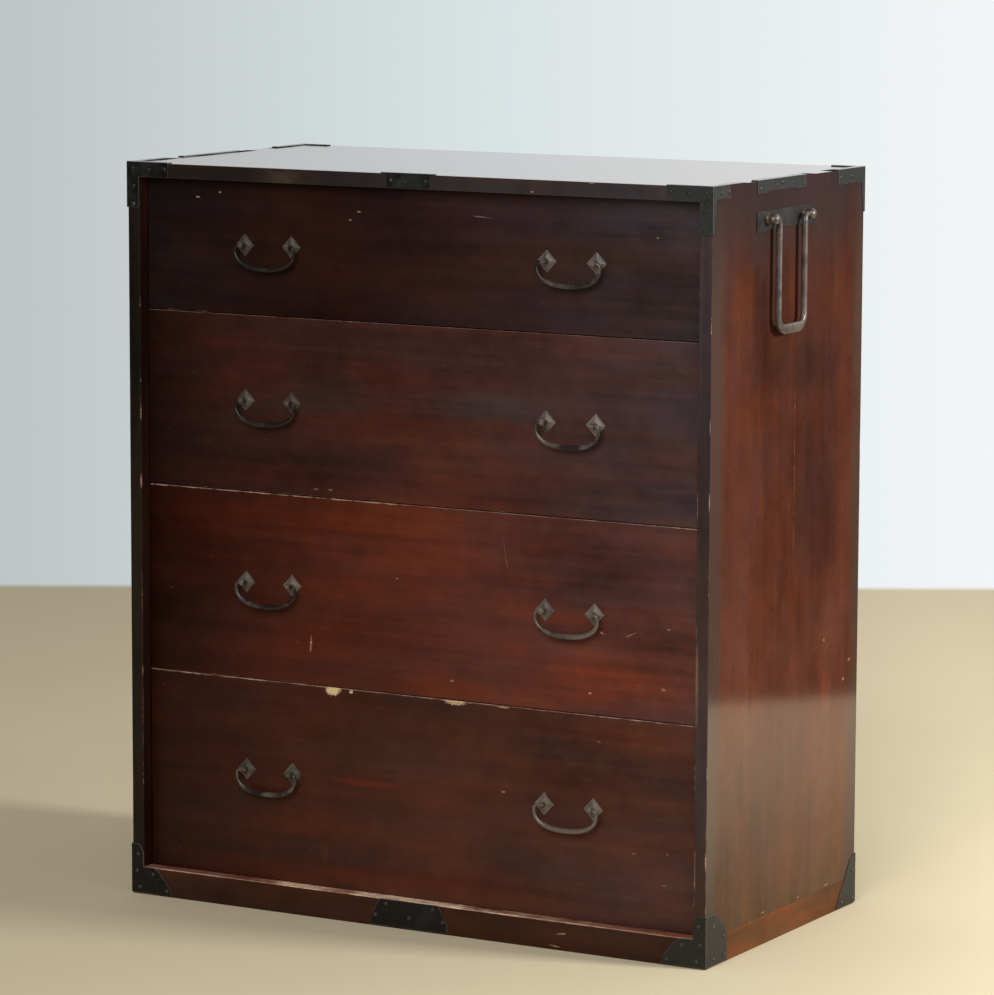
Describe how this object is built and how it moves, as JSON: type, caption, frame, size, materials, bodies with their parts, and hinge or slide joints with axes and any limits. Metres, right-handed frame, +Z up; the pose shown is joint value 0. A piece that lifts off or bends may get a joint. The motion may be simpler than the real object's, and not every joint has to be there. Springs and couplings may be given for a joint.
{
  "type": "isho clothing chest",
  "caption": "Japanese clothing chest: lacquered case on a low base, full-width drawers with swinging bail pulls, forged corner irons and a long carrying bail on each side.",
  "frame": {"origin": "centre of the footprint, on the floor", "axes": "+Z up, -Y out of the drawer fronts, +X to the right as one faces the drawers"},
  "size_m": [0.9574, 0.4706, 1.0495],
  "materials": {
    "lacquered_front": "thin worn red-brown lacquer over softwood, grain along the board, chipped to bare wood at edges",
    "lacquered_side": "red-brown lacquer, upright grain, satin",
    "lacquered_top": "red-brown lacquer, glossy with age, dusty",
    "plain_wood": "bare planed paulownia, darkened by age",
    "sheet_iron": "blackened sheet iron, rubbed at the edges",
    "forged_iron": "blackened hammer-forged iron with brown patina",
    "nail_iron": "hammered nail heads, rubbed brighter"
  },
  "bodies": {
    "case": {"top_panel": "lacquered_top", "side_panel_left": "lacquered_side", "side_panel_right": "lacquered_side", "front_stile_left": "lacquered_front", "front_stile_right": "lacquered_front", "bottom_panel": "plain_wood", "back_boards": "plain_wood", "base_rail_front": "lacquered_front", "base_rail_back": "lacquered_side", "base_rail_left": "lacquered_side", "base_rail_right": "lacquered_side", "top_corner_iron_front_left": "sheet_iron", "top_corner_iron_front_right": "sheet_iron", "top_corner_irons_rear": "sheet_iron", "top_edge_irons": "sheet_iron", "top_centre_plate": "sheet_iron", "base_corner_iron_front_left": "sheet_iron", "base_corner_iron_front_right": "sheet_iron", "base_corner_irons_rear": "sheet_iron", "base_centre_plate": "sheet_iron", "iron_nails": "nail_iron", "side_handle_mount_left": "forged_iron", "side_handle_mount_right": "forged_iron", "divider_board_1": "plain_wood", "divider_board_2": "plain_wood", "divider_board_3": "plain_wood"},
    "drawer_1": {"drawer_1_front": "lacquered_front", "drawer_1_side_left": "plain_wood", "drawer_1_side_right": "plain_wood", "drawer_1_back": "plain_wood", "drawer_1_bottom": "plain_wood", "drawer_1_rosettes": "forged_iron"},
    "pull_1_left": {"drawer_1_bail_left": "forged_iron"},
    "pull_1_right": {"drawer_1_bail_right": "forged_iron"},
    "drawer_2": {"drawer_2_front": "lacquered_front", "drawer_2_side_left": "plain_wood", "drawer_2_side_right": "plain_wood", "drawer_2_back": "plain_wood", "drawer_2_bottom": "plain_wood", "drawer_2_rosettes": "forged_iron"},
    "pull_2_left": {"drawer_2_bail_left": "forged_iron"},
    "pull_2_right": {"drawer_2_bail_right": "forged_iron"},
    "drawer_3": {"drawer_3_front": "lacquered_front", "drawer_3_side_left": "plain_wood", "drawer_3_side_right": "plain_wood", "drawer_3_back": "plain_wood", "drawer_3_bottom": "plain_wood", "drawer_3_rosettes": "forged_iron"},
    "pull_3_left": {"drawer_3_bail_left": "forged_iron"},
    "pull_3_right": {"drawer_3_bail_right": "forged_iron"},
    "drawer_4": {"drawer_4_front": "lacquered_front", "drawer_4_side_left": "plain_wood", "drawer_4_side_right": "plain_wood", "drawer_4_back": "plain_wood", "drawer_4_bottom": "plain_wood", "drawer_4_rosettes": "forged_iron"},
    "pull_4_left": {"drawer_4_bail_left": "forged_iron"},
    "pull_4_right": {"drawer_4_bail_right": "forged_iron"},
    "carry_left": {"side_bail_left": "forged_iron"},
    "carry_right": {"side_bail_right": "forged_iron"}
  },
  "joints": [
    {"name": "drawer_1_slide", "type": "slide", "parent": "case", "child": "drawer_1", "axis": [0, -1, 0], "range_m": [0, 0.36]},
    {"name": "pull_1_left_swing", "type": "hinge", "parent": "drawer_1", "child": "pull_1_left", "pos_m": [-0.24, -0.2235, 0.93824], "axis": [-1, 0, 0], "range_deg": [-12, 192]},
    {"name": "pull_1_right_swing", "type": "hinge", "parent": "drawer_1", "child": "pull_1_right", "pos_m": [0.24, -0.2235, 0.93824], "axis": [-1, 0, 0], "range_deg": [-12, 192]},
    {"name": "drawer_2_slide", "type": "slide", "parent": "case", "child": "drawer_2", "axis": [0, -1, 0], "range_m": [0, 0.36]},
    {"name": "pull_2_left_swing", "type": "hinge", "parent": "drawer_2", "child": "pull_2_left", "pos_m": [-0.24, -0.2235, 0.72097], "axis": [-1, 0, 0], "range_deg": [-12, 192]},
    {"name": "pull_2_right_swing", "type": "hinge", "parent": "drawer_2", "child": "pull_2_right", "pos_m": [0.24, -0.2235, 0.72097], "axis": [-1, 0, 0], "range_deg": [-12, 192]},
    {"name": "drawer_3_slide", "type": "slide", "parent": "case", "child": "drawer_3", "axis": [0, -1, 0], "range_m": [0, 0.36]},
    {"name": "pull_3_left_swing", "type": "hinge", "parent": "drawer_3", "child": "pull_3_left", "pos_m": [-0.24, -0.2235, 0.46402], "axis": [-1, 0, 0], "range_deg": [-12, 192]},
    {"name": "pull_3_right_swing", "type": "hinge", "parent": "drawer_3", "child": "pull_3_right", "pos_m": [0.24, -0.2235, 0.46402], "axis": [-1, 0, 0], "range_deg": [-12, 192]},
    {"name": "drawer_4_slide", "type": "slide", "parent": "case", "child": "drawer_4", "axis": [0, -1, 0], "range_m": [0, 0.36]},
    {"name": "pull_4_left_swing", "type": "hinge", "parent": "drawer_4", "child": "pull_4_left", "pos_m": [-0.24, -0.2235, 0.19643], "axis": [-1, 0, 0], "range_deg": [-12, 192]},
    {"name": "pull_4_right_swing", "type": "hinge", "parent": "drawer_4", "child": "pull_4_right", "pos_m": [0.24, -0.2235, 0.19643], "axis": [-1, 0, 0], "range_deg": [-12, 192]},
    {"name": "carry_left_swing", "type": "hinge", "parent": "case", "child": "carry_left", "pos_m": [-0.4705, -0.016, 0.9965], "axis": [0, 1, 0], "range_deg": [-2, 183]},
    {"name": "carry_right_swing", "type": "hinge", "parent": "case", "child": "carry_right", "pos_m": [0.4705, -0.016, 0.9965], "axis": [0, -1, 0], "range_deg": [-2, 183]}
  ]
}
